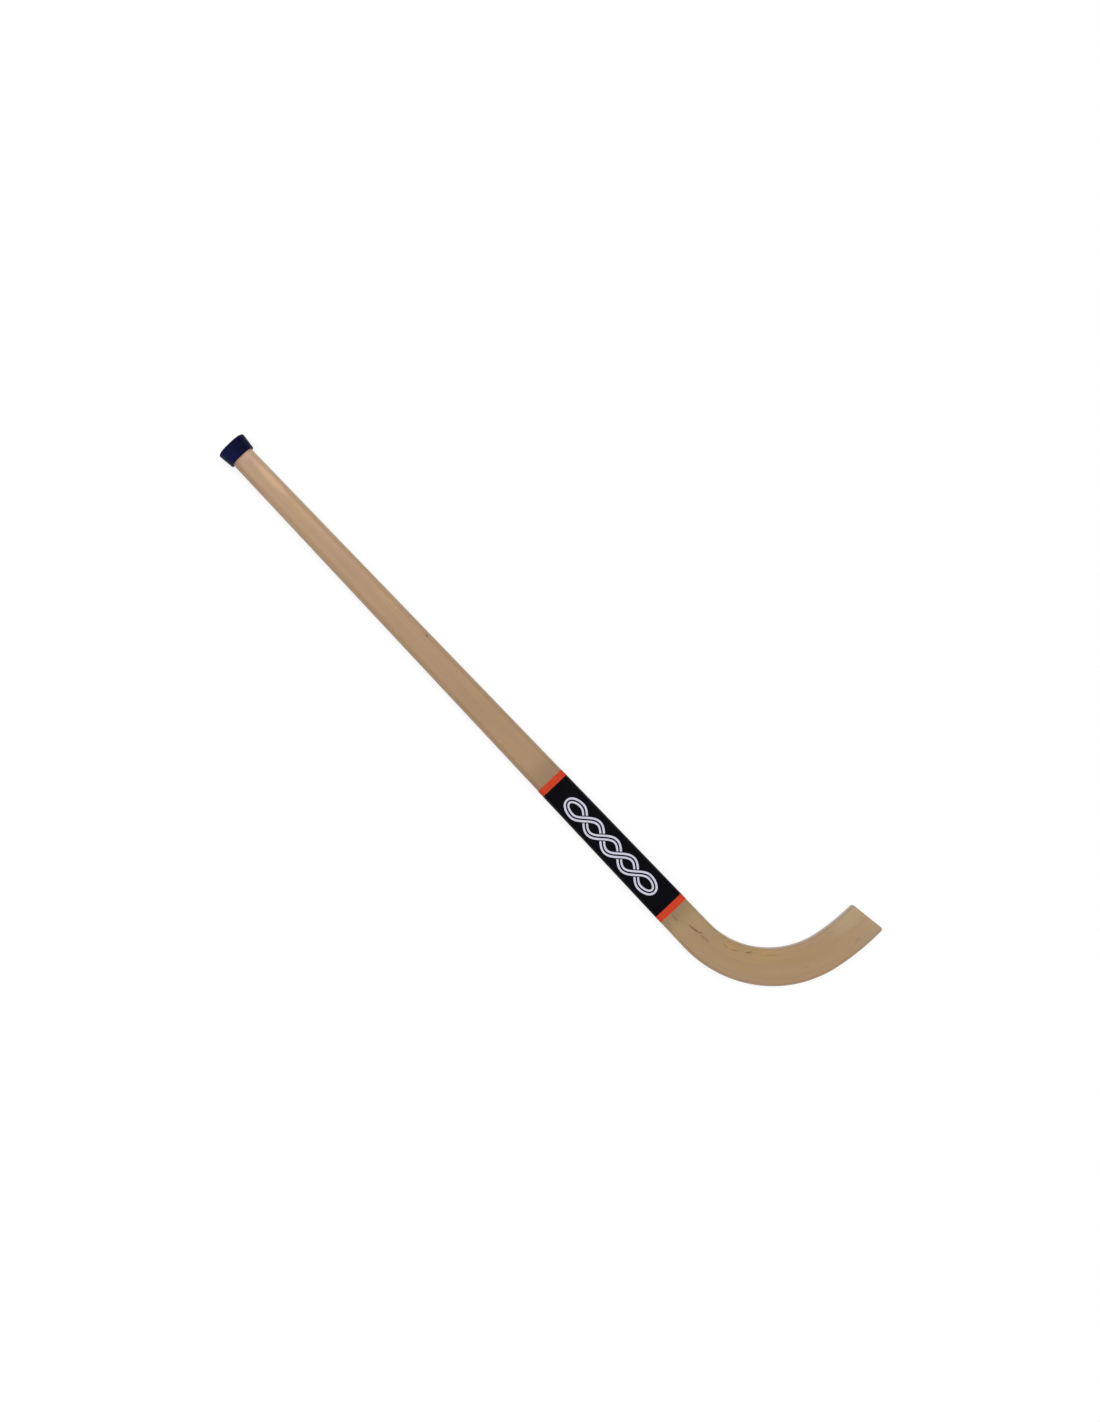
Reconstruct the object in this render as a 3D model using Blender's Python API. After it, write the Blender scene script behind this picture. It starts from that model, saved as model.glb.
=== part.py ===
"""A roller hockey stick lying on its flat side: bent wooden lamellae, a butt cap and a printed wrap.

The stick is drawn in its own frame, with the butt end at the origin, the shaft along +X, the blade
bending towards +Y and the flat sides facing up and down. An empty then carries the whole stick, so
that the world origin is on the ground under the middle of its bounding box. All sizes are metres.
"""

import math

import bmesh
import bpy
from mathutils import Vector

# Length along the middle of the stick
SHAFT_LENGTH = 0.7976
HEEL_RADIUS = 0.1208
HEEL_ANGLE = math.radians(80.0)
TOE_RADIUS = 0.290
TOE_ANGLE = math.radians(12.15)

# Width across the flat side
BUTT_WIDTH = 0.0281
SHAFT_END_WIDTH = 0.0414
BLADE_WIDTH = 0.0452
BLADE_SPREAD_LENGTH = 0.140

# Thickness between the flat sides, and the rounding of the long edges
BUTT_THICKNESS = 0.022
BLADE_THICKNESS = 0.020
BUTT_EDGE_RADIUS = 0.010
BLADE_EDGE_RADIUS = 0.0045

# Toe
TOE_SKEW_ANGLE = math.radians(5.5)
TOE_SKEW_RUN = 0.030
TOE_CORNER_RADIUS = 0.003
TOE_EDGE_RADIUS = 0.001

# Lamination
LAMELLA_COUNT = 9
GLUE_LINE = 0.0003
FEATHER_THICKNESS = 0.0006

# Butt cap
CAP_LENGTH = 0.0202
CAP_FLOOR = 0.003
CAP_RIM_WALL = 0.0024
CAP_END_WALL = 0.0047
CAP_END_ROUNDING = 0.0020
CAP_RIM_ROUNDING = 0.0005
CAP_CLEARANCE = 0.0003

# Printed wrap
WRAP_LENGTH = 0.2112
WRAP_TO_BEND = 0.0405
STRIPE_WIDTH = 0.0086
FILM_THICKNESS = 0.0003
FILM_CLEARANCE = 0.0003
FILM_SEAM = 0.0003

# Mesh fineness
SHAFT_STEPS = 8
BEND_STEP = math.radians(3.2)
TOE_EASE_STEPS = 3
CORNER_STEPS = 6
INNER_LAMELLA_STEPS = 4
OUTER_LAMELLA_STEPS = 6
SEARCH_STEP = 0.001
SMOOTH_ANGLE = math.radians(30.0)

# Sizes that follow from the ones above
HEEL_LENGTH = HEEL_RADIUS * HEEL_ANGLE
TOE_LENGTH = TOE_RADIUS * TOE_ANGLE
STICK_LENGTH = SHAFT_LENGTH + HEEL_LENGTH + TOE_LENGTH
BLANK_WIDTH = max(BUTT_WIDTH, SHAFT_END_WIDTH, BLADE_WIDTH)
LAMELLA_PITCH = (BLANK_WIDTH + GLUE_LINE) / LAMELLA_COUNT
WOOD_START = CAP_FLOOR + CAP_CLEARANCE
WRAP_END = SHAFT_LENGTH - WRAP_TO_BEND
WRAP_START = WRAP_END - WRAP_LENGTH

WOOD_TONES = ((0.43, 0.28, 0.16, 1.0), (0.40, 0.26, 0.145, 1.0))
NAVY = (0.009, 0.009, 0.032, 1.0)
BLACK = (0.008, 0.008, 0.010, 1.0)
ORANGE = (0.66, 0.060, 0.022, 1.0)


def blend(start, end, share):
    """The value that lies this share of the way from start to end."""
    return start + (end - start) * min(max(share, 0.0), 1.0)


def standback(distance, radius):
    """How far a rounded corner stands back from its edge, at this distance from the end."""
    if distance >= radius:
        return 0.0
    return radius - math.sqrt(radius**2 - (radius - distance) ** 2)


def half_width(s):
    """Half the width of the wood, s along the middle from the butt end."""
    if s <= SHAFT_LENGTH:
        return blend(BUTT_WIDTH, SHAFT_END_WIDTH, s / SHAFT_LENGTH) / 2
    share = min((s - SHAFT_LENGTH) / BLADE_SPREAD_LENGTH, 1.0)
    width = blend(SHAFT_END_WIDTH, BLADE_WIDTH, share**2 * (3 - 2 * share))
    return width / 2 - standback(STICK_LENGTH - s, TOE_CORNER_RADIUS)


def half_thickness(s):
    """Half the thickness of the wood between its flat sides."""
    thickness = blend(BUTT_THICKNESS, BLADE_THICKNESS, s / SHAFT_LENGTH)
    return thickness / 2 - standback(STICK_LENGTH - s, TOE_EDGE_RADIUS)


def edge_radius(s):
    """Rounding of the long edges, never more than the wood has room for."""
    wanted = blend(BUTT_EDGE_RADIUS, BLADE_EDGE_RADIUS, s / SHAFT_LENGTH)
    return min(wanted, half_thickness(s), half_width(s))


def surface_height(s, v):
    """Height of the upper surface over the middle plane, v across from the middle line."""
    radius = edge_radius(s)
    into_corner = max(abs(v) - (half_width(s) - radius), 0.0)
    return half_thickness(s) - radius + math.sqrt(max(radius**2 - into_corner**2, 0.0))


def middle_line(s):
    """Point (x, y) and heading of the middle line: a straight shaft, a heel arc, then a toe arc."""
    x, y, heading = min(s, SHAFT_LENGTH), 0.0, 0.0
    heel = min(max(s - SHAFT_LENGTH, 0.0), HEEL_LENGTH)
    toe = max(s - SHAFT_LENGTH - HEEL_LENGTH, 0.0)
    for radius, length in ((HEEL_RADIUS, heel), (TOE_RADIUS, toe)):
        turned = heading + length / radius
        x += radius * (math.sin(turned) - math.sin(heading))
        y += radius * (math.cos(heading) - math.cos(turned))
        heading = turned
    return x, y, heading


def place(s, v, z):
    """The point at s along the stick, v across towards the inside of the bend, and z up."""
    skew_share = max(s - (STICK_LENGTH - TOE_SKEW_RUN), 0.0) / TOE_SKEW_RUN
    x, y, heading = middle_line(s - v * math.tan(TOE_SKEW_ANGLE) * skew_share)
    return Vector((x - v * math.sin(heading), y + v * math.cos(heading), z))


def stations():
    """Distances along the stick at which the wood gets a cross-section."""
    found = [blend(WOOD_START, SHAFT_LENGTH, i / SHAFT_STEPS) for i in range(SHAFT_STEPS + 1)]
    start = SHAFT_LENGTH
    for length, angle in ((HEEL_LENGTH, HEEL_ANGLE), (TOE_LENGTH, TOE_ANGLE)):
        steps = max(math.ceil(angle / BEND_STEP), 1)
        found += [start + length * i / steps for i in range(1, steps + 1)]
        start += length
    found = [s for s in found if s < STICK_LENGTH - TOE_CORNER_RADIUS - TOE_EDGE_RADIUS]
    for radius in (TOE_CORNER_RADIUS, TOE_EDGE_RADIUS):
        for i in range(TOE_EASE_STEPS):
            found.append(STICK_LENGTH - radius * (1 - math.sin(math.pi / 2 * i / TOE_EASE_STEPS)))
    return sorted(found) + [STICK_LENGTH]


def loft(name, rings, material):
    """An object whose skin runs through the rings of points, closed by a face at each end."""
    mesh = bmesh.new()
    loops = [[mesh.verts.new(point) for point in ring] for ring in rings]
    for ring, following in zip(loops, loops[1:]):
        for i in range(len(ring)):
            mesh.faces.new((ring[i - 1], ring[i], following[i], following[i - 1]))
    mesh.faces.new(loops[0])
    mesh.faces.new(loops[-1])
    return finished(name, mesh, material)


def finished(name, mesh, material):
    """An object of its own from a bmesh, facing outwards, with smooth round faces."""
    bmesh.ops.recalc_face_normals(mesh, faces=mesh.faces)
    data = bpy.data.meshes.new(name)
    mesh.to_mesh(data)
    mesh.free()
    data.shade_smooth()
    data.set_sharp_from_angle(angle=SMOOTH_ANGLE)
    data.materials.append(material)
    obj = bpy.data.objects.new(name, data)
    bpy.context.scene.collection.objects.link(obj)
    return obj


def finish(name, colour, roughness):
    """A material with this colour and roughness."""
    material = bpy.data.materials.new(name)
    material.use_nodes = True
    shader = material.node_tree.nodes["Principled BSDF"]
    shader.inputs["Base Color"].default_value = colour
    shader.inputs["Roughness"].default_value = roughness
    shader.inputs["Metallic"].default_value = 0.0
    return material


def lamella_section(s, low, high, steps):
    """Cross-section of the lamella between low and high, cut to the outline of the stick."""
    edge = half_width(s)
    low, high = max(low, -edge), min(high, edge)
    near, far = (low, high) if abs(high) >= abs(low) else (high, low)
    across = [blend(near, far, math.sin(math.pi / 2 * i / steps)) for i in range(steps + 1)]
    upper = [place(s, v, surface_height(s, v)) for v in across]
    lower = [place(s, v, -surface_height(s, v)) for v in reversed(across)]
    return upper + lower


def lamella(number, material):
    """One bent lamella, number 1 on the outside of the bend; an outer one starts at a feather tip."""
    low = -BLANK_WIDTH / 2 + (number - 1) * LAMELLA_PITCH
    high = low + LAMELLA_PITCH - GLUE_LINE
    inner_face = min(abs(low), abs(high)) if low * high > 0 else 0.0
    start = WOOD_START
    while half_width(start) < inner_face + FEATHER_THICKNESS:
        start += SEARCH_STEP
    places = [start] + [s for s in stations() if s > start + SEARCH_STEP]
    outer = number in (1, 2, LAMELLA_COUNT - 1, LAMELLA_COUNT)
    steps = OUTER_LAMELLA_STEPS if outer else INNER_LAMELLA_STEPS
    rings = [lamella_section(s, low, high, steps) for s in places]
    return loft(f"lamella_{number}", rings, material)


def outline_ring(s, x, grow):
    """The outline of the wood at s, grown outwards by this much and drawn at x along the shaft."""
    radius = edge_radius(s)
    across, up = half_width(s) - radius, half_thickness(s) - radius
    ring = []
    for quarter in range(4):
        side_v = 1 if quarter in (0, 3) else -1
        side_z = 1 if quarter in (0, 1) else -1
        for i in range(CORNER_STEPS + 1):
            angle = math.pi / 2 * (quarter + i / CORNER_STEPS)
            v = side_v * across + (radius + grow) * math.cos(angle)
            z = side_z * up + (radius + grow) * math.sin(angle)
            ring.append(Vector((x, v, z)))
    return ring


def butt_cap(material):
    """A moulded cup that flares towards its closed end and grips the end of the shaft."""
    rings = [outline_ring(x, x, CAP_CLEARANCE) for x in (CAP_FLOOR, CAP_LENGTH - CAP_RIM_ROUNDING)]
    rings.append(outline_ring(CAP_LENGTH, CAP_LENGTH, CAP_CLEARANCE + CAP_RIM_ROUNDING))
    rim = CAP_CLEARANCE + CAP_RIM_WALL
    end = CAP_CLEARANCE + CAP_END_WALL
    rings.append(outline_ring(CAP_LENGTH, CAP_LENGTH, rim - CAP_RIM_ROUNDING))
    rings.append(outline_ring(CAP_LENGTH, CAP_LENGTH - CAP_RIM_ROUNDING, rim))
    for i in range(CORNER_STEPS + 1):
        angle = math.pi / 2 * i / CORNER_STEPS
        x = CAP_END_ROUNDING * (1 - math.sin(angle))
        grow = end - CAP_END_ROUNDING * (1 - math.cos(angle))
        rings.append(outline_ring(0.0, x, grow))
    return loft("butt_cap", rings, material)


def film_sleeve(name, start, end, material):
    """A sleeve of printed film wrapped round the shaft from start to end."""
    outer_face = FILM_CLEARANCE + FILM_THICKNESS
    corners = ((start, FILM_CLEARANCE), (end, FILM_CLEARANCE), (end, outer_face), (start, outer_face))
    mesh = bmesh.new()
    loops = [[mesh.verts.new(p) for p in outline_ring(s, s, grow)] for s, grow in corners]
    for ring, following in zip(loops, loops[1:] + loops[:1]):
        for i in range(len(ring)):
            mesh.faces.new((ring[i - 1], ring[i], following[i], following[i - 1]))
    return finished(name, mesh, material)


def printed_wrap():
    """The dark wrap in the middle, with a bright stripe at each end."""
    stripe = finish("orange_print", ORANGE, 0.40)
    lower_stripe_start = WRAP_END - STRIPE_WIDTH
    return [
        film_sleeve("upper_stripe", WRAP_START, WRAP_START + STRIPE_WIDTH, stripe),
        film_sleeve(
            "label_wrap",
            WRAP_START + STRIPE_WIDTH + FILM_SEAM,
            lower_stripe_start - FILM_SEAM,
            finish("black_print", BLACK, 0.35),
        ),
        film_sleeve("lower_stripe", lower_stripe_start, WRAP_END, stripe),
    ]


def lay_down(pieces):
    """Carries the pieces on an empty, so that the origin is on the ground under their middle."""
    corners = [vertex.co for piece in pieces for vertex in piece.data.vertices]
    low = Vector([min(corner[axis] for corner in corners) for axis in range(3)])
    high = Vector([max(corner[axis] for corner in corners) for axis in range(3)])
    carrier = bpy.data.objects.new("stick", None)
    bpy.context.scene.collection.objects.link(carrier)
    carrier.location = (-(low.x + high.x) / 2, -(low.y + high.y) / 2, -low.z)
    for piece in pieces:
        piece.parent = carrier


def main():
    for obj in list(bpy.data.objects):
        bpy.data.objects.remove(obj)
    woods = [finish(f"wood_{i + 1}", tone, 0.45) for i, tone in enumerate(WOOD_TONES)]
    pieces = [lamella(n, woods[n % 2]) for n in range(1, LAMELLA_COUNT + 1)]
    pieces.append(butt_cap(finish("navy_rubber", NAVY, 0.5)))
    pieces += printed_wrap()
    lay_down(pieces)


main()
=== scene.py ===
"""Looks of the roller hockey stick: lacquered bent wood, a rubber butt cap and a printed film wrap.

Every visible surface is drawn in the stick's own coordinates: s along the middle of the stick from
the butt end, v across it towards the inside of the bend, and z up from the middle plane. They are
also kept on the meshes, as the attribute GRAIN, so that the wood grain follows the bend. The
attribute ENDWISE says how far the wood's skin faces along the stick, where its fibres are cut
across. Lengths are in metres, but in millimetres where they shape a material's pattern.
"""

import math

import bmesh
import bpy
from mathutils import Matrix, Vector


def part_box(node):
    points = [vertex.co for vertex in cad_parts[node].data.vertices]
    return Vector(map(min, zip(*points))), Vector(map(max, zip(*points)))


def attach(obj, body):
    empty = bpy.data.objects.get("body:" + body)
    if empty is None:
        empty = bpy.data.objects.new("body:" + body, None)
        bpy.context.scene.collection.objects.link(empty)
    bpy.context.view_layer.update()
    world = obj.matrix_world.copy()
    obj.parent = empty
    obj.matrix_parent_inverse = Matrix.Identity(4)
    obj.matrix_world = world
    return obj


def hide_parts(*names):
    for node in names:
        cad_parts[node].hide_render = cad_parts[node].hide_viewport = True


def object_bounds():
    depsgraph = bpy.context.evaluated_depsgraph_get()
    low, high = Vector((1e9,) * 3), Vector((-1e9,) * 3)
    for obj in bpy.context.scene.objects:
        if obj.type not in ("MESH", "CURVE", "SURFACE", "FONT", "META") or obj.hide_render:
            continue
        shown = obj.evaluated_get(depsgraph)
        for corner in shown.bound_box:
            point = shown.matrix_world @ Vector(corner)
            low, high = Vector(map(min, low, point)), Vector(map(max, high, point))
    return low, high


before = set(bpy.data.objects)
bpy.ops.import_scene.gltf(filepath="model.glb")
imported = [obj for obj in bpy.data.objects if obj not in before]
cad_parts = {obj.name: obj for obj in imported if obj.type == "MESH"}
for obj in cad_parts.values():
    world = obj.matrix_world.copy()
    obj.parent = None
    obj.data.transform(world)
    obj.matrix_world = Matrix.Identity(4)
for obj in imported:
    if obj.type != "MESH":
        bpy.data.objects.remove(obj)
CAD_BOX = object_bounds()

GRAIN = "grain"
ENDWISE = "endwise"
BODY = "root"
MM = 0.001

# Shape of the stick
SHAFT_LENGTH = 0.7976
HEEL_RADIUS = 0.1208
HEEL_ANGLE = math.radians(80.0)
TOE_RADIUS = 0.290
TOE_ANGLE = math.radians(12.15)
BUTT_WIDTH = 0.0281
SHAFT_END_WIDTH = 0.0414
BLADE_WIDTH = 0.0452
BLADE_SPREAD_LENGTH = 0.140
BUTT_THICKNESS = 0.022
BLADE_THICKNESS = 0.020
BUTT_EDGE_RADIUS = 0.010
BLADE_EDGE_RADIUS = 0.0045
TOE_SKEW_ANGLE = math.radians(5.5)
TOE_SKEW_RUN = 0.030
TOE_CORNER_RADIUS = 0.003
TOE_EDGE_RADIUS = 0.001
HEEL_LENGTH = HEEL_RADIUS * HEEL_ANGLE
TOE_LENGTH = TOE_RADIUS * TOE_ANGLE
STICK_LENGTH = SHAFT_LENGTH + HEEL_LENGTH + TOE_LENGTH

# Lamination
LAMELLA_COUNT = 9
GLUE_LINE = 0.0003
FEATHER_THICKNESS = 0.0001
LAMELLA_PITCH = (BLADE_WIDTH + GLUE_LINE) / LAMELLA_COUNT
WOOD_START = 0.0033

# How far the cap and the films stand off the wood
WOOD_GAP = 0.00004

# Cap
CAP_RIM_WALL = 0.0027
CAP_END_WALL = 0.0050
CAP_END_ROUNDING = 0.0020
CAP_END_DOME = 0.0003
CAP_DOME_SHARES = (0.8, 0.6, 0.4, 0.2, 0.05)
CAP_RIM_LIP = 0.0006

# Printed film, whose free end is lapped over along the middle of the outer side
FILM_TOP = 0.00024
FILM_BEVEL_SHARE = 0.3
FILM_STEP = 0.02
FILM_SEAM = 0.00004
LAP_LIFT = 0.00012
LAP_HALF = 0.003
LAP_RAMP = 0.001
LAP_CUT = 0.00005

# Mesh fineness
SHAFT_STEPS = 40
BEND_STEP = 0.0024
TOE_EASE_STEPS = 8
LAMELLA_STEPS = 9
CORNER_STEPS = 12
SEARCH_STEP = 0.001
SLOPE_STEP = 0.02 * MM
TOLERANCE = MM * MM
SHARP_ANGLE = math.radians(35.0)

# The butt end's middle in the world, from the frame
cap_low, cap_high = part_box("butt_cap")
BUTT = Vector((cap_low[0], (cap_low[1] + cap_high[1]) / 2, (cap_low[2] + cap_high[2]) / 2))
CAP_LENGTH = cap_high[0] - cap_low[0]


def along(node):
    """Where a node on the shaft starts and ends, measured from the butt end."""
    low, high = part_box(node)
    return low[0] - BUTT.x, high[0] - BUTT.x


def blend(start, end, share):
    """The value that lies this share of the way from start to end."""
    return start + (end - start) * min(max(share, 0.0), 1.0)


def quarter_turn(steps):
    """Angles from 0 to 90 degrees in this many equal steps."""
    return [math.pi / 2 * i / steps for i in range(steps + 1)]


def standback(distance, radius):
    """How far a rounded corner stands back from its edge, at this distance from the end."""
    if distance >= radius:
        return 0.0
    return radius - math.sqrt(max(radius**2 - (radius - distance) ** 2, 0.0))


def half_width(s):
    """Half the width of the wood at s."""
    if s <= SHAFT_LENGTH:
        return blend(BUTT_WIDTH, SHAFT_END_WIDTH, s / SHAFT_LENGTH) / 2
    share = min((s - SHAFT_LENGTH) / BLADE_SPREAD_LENGTH, 1.0)
    width = blend(SHAFT_END_WIDTH, BLADE_WIDTH, share**2 * (3 - 2 * share))
    return width / 2 - standback(STICK_LENGTH - s, TOE_CORNER_RADIUS)


def half_thickness(s):
    """Half the thickness of the wood at s."""
    thickness = blend(BUTT_THICKNESS, BLADE_THICKNESS, s / SHAFT_LENGTH)
    return thickness / 2 - standback(STICK_LENGTH - s, TOE_EDGE_RADIUS)


def edge_radius(s):
    """Rounding of the long edges at s."""
    wanted = blend(BUTT_EDGE_RADIUS, BLADE_EDGE_RADIUS, s / SHAFT_LENGTH)
    return min(wanted, half_thickness(s), half_width(s))


def surface_height(s, v):
    """Height of the upper surface over the middle plane."""
    radius = edge_radius(s)
    into_corner = max(abs(v) - (half_width(s) - radius), 0.0)
    return half_thickness(s) - radius + math.sqrt(max(radius**2 - into_corner**2, 0.0))


def middle_line(s):
    """Point (x, y) and heading of the middle line."""
    x, y, heading = min(s, SHAFT_LENGTH), 0.0, 0.0
    heel = min(max(s - SHAFT_LENGTH, 0.0), HEEL_LENGTH)
    toe = max(s - SHAFT_LENGTH - HEEL_LENGTH, 0.0)
    for radius, length in ((HEEL_RADIUS, heel), (TOE_RADIUS, toe)):
        turned = heading + length / radius
        x += radius * (math.sin(turned) - math.sin(heading))
        y += radius * (math.cos(heading) - math.cos(turned))
        heading = turned
    return x, y, heading


def skewed(s, v):
    """The distance along the stick once the toe's slant is counted."""
    share = max(s - (STICK_LENGTH - TOE_SKEW_RUN), 0.0) / TOE_SKEW_RUN
    return s - v * math.tan(TOE_SKEW_ANGLE) * share


def place(point):
    """World position of a point given as (s, v, z)."""
    s, v, z = point
    x, y, heading = middle_line(skewed(s, v))
    return BUTT + Vector((x - v * math.sin(heading), y + v * math.cos(heading), z))


def skin_facing(point):
    """Which way the lacquered skin faces at (s, v, z): along the stick, across it and up."""
    s, v, z = point

    def past_rounding(at):
        """How far the point is past the centre of the rounding at this s, and outside the skin."""
        radius = edge_radius(at)
        across = max(abs(v) - (half_width(at) - radius), 0.0)
        up = max(abs(z) - (half_thickness(at) - radius), 0.0)
        return across, up, math.hypot(across, up) - radius

    across, up, outside = past_rounding(s)
    size = math.hypot(across, up) or 1.0
    slope = (outside - past_rounding(s - SLOPE_STEP)[2]) / SLOPE_STEP
    return Vector((slope, math.copysign(across, v) / size, math.copysign(up, z) / size)).normalized()


def skin_normal(point):
    """Which way the skin faces at (s, v, z) in the world."""
    facing = skin_facing(point)
    heading = middle_line(skewed(point[0], point[1]))[2]
    cos, sin = math.cos(heading), math.sin(heading)
    return Vector((facing.x * cos - facing.y * sin, facing.x * sin + facing.y * cos, facing.z))


def stations():
    """Distances along the stick at which the wood gets a cross-section."""
    found = [blend(WOOD_START, SHAFT_LENGTH, i / SHAFT_STEPS) for i in range(SHAFT_STEPS + 1)]
    bend = STICK_LENGTH - SHAFT_LENGTH - TOE_CORNER_RADIUS
    steps = math.ceil(bend / BEND_STEP)
    found += [SHAFT_LENGTH + bend * i / steps for i in range(1, steps + 1)]
    for radius in (TOE_CORNER_RADIUS, TOE_EDGE_RADIUS):
        for angle in quarter_turn(TOE_EASE_STEPS)[1:-1]:
            found.append(STICK_LENGTH - radius * (1 - math.sin(angle)))
    return sorted(found) + [STICK_LENGTH]


def add(name, data):
    """A new object of the scene."""
    obj = bpy.data.objects.new(name, data)
    bpy.context.scene.collection.objects.link(obj)
    return obj


def flat(groups):
    """The items of all the groups, one after another."""
    return [item for group in groups for item in group]


def piece(name, rings, faces, material, node):
    """A smooth mesh through rings of points (s, v, z), which rides the stick and stands for a node."""
    points = flat(rings)
    mesh = bpy.data.meshes.new(name)
    mesh.from_pydata([place(point) for point in points], [], faces)
    attribute = mesh.attributes.new(GRAIN, "FLOAT_VECTOR", "POINT")
    attribute.data.foreach_set("vector", flat(points))
    mesh.materials.append(material)
    mesh.shade_smooth()
    obj = add(name, mesh)
    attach(obj, BODY)
    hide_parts(node)
    return obj


def tube_faces(rings):
    """Faces between successive rings, each ring closed on itself."""
    size = len(rings[0])
    faces = []
    for ring in range(len(rings) - 1):
        for i in range(size):
            a, b = ring * size + i, ring * size + (i + 1) % size
            faces.append((a, b, b + size, a + size))
    return faces


def end_faces(rings):
    """The two faces that close a row of rings, inside its first and its last ring."""
    size = len(rings[0])
    last = (len(rings) - 1) * size
    return [tuple(reversed(range(size))), tuple(range(last, last + size))]


def return_faces(rings):
    """Faces from the last ring back to the first, which close the wall of a sleeve."""
    size = len(rings[0])
    last = (len(rings) - 1) * size
    return [(last + i, last + (i + 1) % size, (i + 1) % size, i) for i in range(size)]


def outwards(obj):
    """Turns the faces of a closed piece outwards and keeps only its real edges sharp."""
    mesh = bmesh.new()
    mesh.from_mesh(obj.data)
    bmesh.ops.recalc_face_normals(mesh, faces=mesh.faces)
    mesh.to_mesh(obj.data)
    mesh.free()
    obj.data.set_sharp_from_angle(angle=SHARP_ANGLE)


def lamella_ring(s, near, far):
    """Cross-section of a lamella between two places across, cut to the outline of the stick."""
    edge = half_width(s)
    near, far = max(min(near, edge), -edge), max(min(far, edge), -edge)
    across = [blend(near, far, math.sin(angle)) for angle in quarter_turn(LAMELLA_STEPS)]
    upper = [(s, v, surface_height(s, v)) for v in across]
    return upper + [(s, v, -z) for s, v, z in reversed(upper)]


def lamella(number, material):
    """One bent lamella. It meets its neighbours in the middle of the glue line."""
    low = -BLADE_WIDTH / 2 + (number - 1) * LAMELLA_PITCH - GLUE_LINE / 2
    high = low + LAMELLA_PITCH
    near, far = sorted((low, high), key=abs)
    inner_face = abs(near) if low * high > 0 else 0.0
    start = WOOD_START
    while half_width(start) < inner_face + FEATHER_THICKNESS:
        start += SEARCH_STEP
    places = [start] + [s for s in stations() if s > start + SEARCH_STEP]
    rings = [lamella_ring(s, near, far) for s in places]
    faces = tube_faces(rings) + end_faces(rings)
    if near < far:
        faces = [tuple(reversed(face)) for face in faces]
    obj = piece(f"lamella_{number}_wood", rings, faces, material, f"lamella_{number}")
    points = flat(rings)
    dress_normals(obj.data, points)
    endwise = obj.data.attributes.new(ENDWISE, "FLOAT", "POINT")
    endwise.data.foreach_set("value", [skin_facing(point).x for point in points])


def in_skin(corners):
    """Whether the face with these corners is part of the stick's outside, its two ends left out."""
    if len({s for s, _, _ in corners}) == 1:
        return False
    if all(abs(abs(v) - half_width(s)) < TOLERANCE for s, v, _ in corners):
        return True
    above_or_below = len({math.copysign(1, z) for _, _, z in corners}) == 1
    return above_or_below and all(abs(abs(z) - surface_height(s, v)) < TOLERANCE for s, v, z in corners)


def dress_normals(mesh, points):
    """Gives the skin of a lamella the stick's own normals, so that no seam shows in the lacquer."""
    normals = []
    for polygon in mesh.polygons:
        corners = [points[index] for index in polygon.vertices]
        skin = in_skin(corners)
        normals += [skin_normal(corner) if skin else polygon.normal.copy() for corner in corners]
    mesh.normals_split_custom_set(normals)


def outline_ring(s, x, grow, lap=()):
    """The outline of the wood at s, grown outwards by this much and drawn at x along the shaft.

    A lap adds points along the middle of the outer side: each one's height and share of the lift.
    """
    radius = edge_radius(s)
    across, up = half_width(s) - radius, half_thickness(s) - radius
    ring = []
    for quarter in range(4):
        side_v = 1 if quarter in (0, 3) else -1
        side_z = 1 if quarter in (0, 1) else -1
        for i in range(CORNER_STEPS + 1):
            angle = math.pi / 2 * (quarter + i / CORNER_STEPS)
            v = side_v * across + (radius + grow) * math.cos(angle)
            z = side_z * up + (radius + grow) * math.sin(angle)
            ring.append((x, v, z))
        if quarter == 1:
            ring += [(x, -half_width(s) - grow - share * LAP_LIFT, z) for z, share in lap]
    return ring


def cap(material):
    """The butt cap: a flared cup with a rounded lip, rounded corners and a slightly domed end."""
    rings = [outline_ring(x, x, WOOD_GAP) for x in (WOOD_START, CAP_LENGTH - CAP_RIM_LIP)]
    for angle in quarter_turn(CORNER_STEPS)[1:]:
        x = CAP_LENGTH - CAP_RIM_LIP * (1 - math.sin(angle))
        grow = WOOD_GAP + CAP_RIM_LIP - CAP_RIM_LIP * math.cos(angle)
        rings.append(outline_ring(CAP_LENGTH, x, grow))
    for angle in quarter_turn(CORNER_STEPS):
        x = CAP_LENGTH - CAP_RIM_LIP * (1 - math.cos(angle))
        grow = CAP_RIM_WALL - CAP_RIM_LIP * (1 - math.sin(angle))
        rings.append(outline_ring(CAP_LENGTH, x, grow))
    for angle in quarter_turn(CORNER_STEPS):
        x = CAP_END_DOME + CAP_END_ROUNDING * (1 - math.sin(angle))
        grow = CAP_END_WALL - CAP_END_ROUNDING * (1 - math.cos(angle))
        rings.append(outline_ring(0.0, x, grow))
    end_edge = rings[-1]
    for share in CAP_DOME_SHARES:
        rings.append([(CAP_END_DOME * share**2, v * share, z * share) for _, v, z in end_edge])
    faces = tube_faces(rings) + end_faces(rings)
    outwards(piece("butt_cap_rubber", rings, faces, material, "butt_cap"))


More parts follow.
